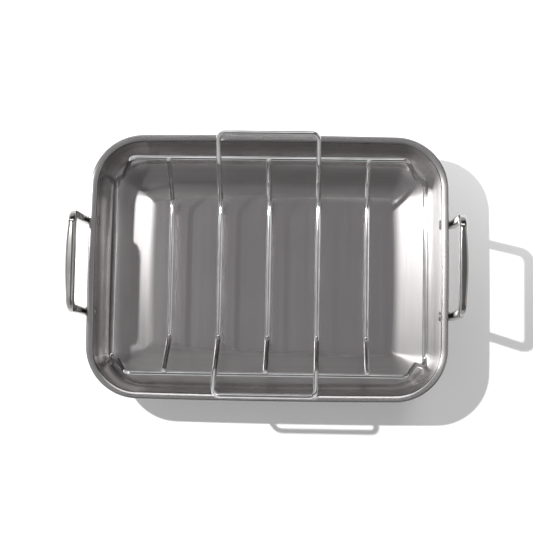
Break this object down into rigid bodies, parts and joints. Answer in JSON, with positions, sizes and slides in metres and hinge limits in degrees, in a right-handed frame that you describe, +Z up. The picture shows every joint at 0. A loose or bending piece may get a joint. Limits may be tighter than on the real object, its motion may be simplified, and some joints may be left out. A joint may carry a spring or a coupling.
{
  "type": "roasting pan with rack",
  "caption": "Deep rectangular stainless steel roasting pan with rounded corners, a narrow lip and riveted upright handles, holding a loose trough-shaped wire rack with lifting loops.",
  "frame": {"origin": "middle of the pan's flat underside, on the surface it stands on", "axes": "+X along the long side to the right handle, +Y to the back, +Z up"},
  "size_m": [0.4464, 0.304, 0.1221],
  "materials": {
    "pan_steel": "brushed stainless floor, polished walls and lip",
    "handle_steel": "polished stainless",
    "rivet_steel": "polished stainless",
    "rack_wire": "bright chrome plate on steel wire"
  },
  "bodies": {
    "pan": {"pan_body": "pan_steel", "left_handle": "handle_steel", "right_handle": "handle_steel", "left_back_rivet": "rivet_steel", "left_front_rivet": "rivet_steel", "right_back_rivet": "rivet_steel", "right_front_rivet": "rivet_steel"},
    "rack": {"rack_frame": "rack_wire", "left_cross_wire": "rack_wire", "middle_cross_wire": "rack_wire", "right_cross_wire": "rack_wire", "lifting_wire": "rack_wire"}
  },
  "joints": [
    {"name": "rack_lift", "type": "slide", "parent": "pan", "child": "rack", "axis": [0, 0, 1], "range_m": [0, 0.11]}
  ]
}
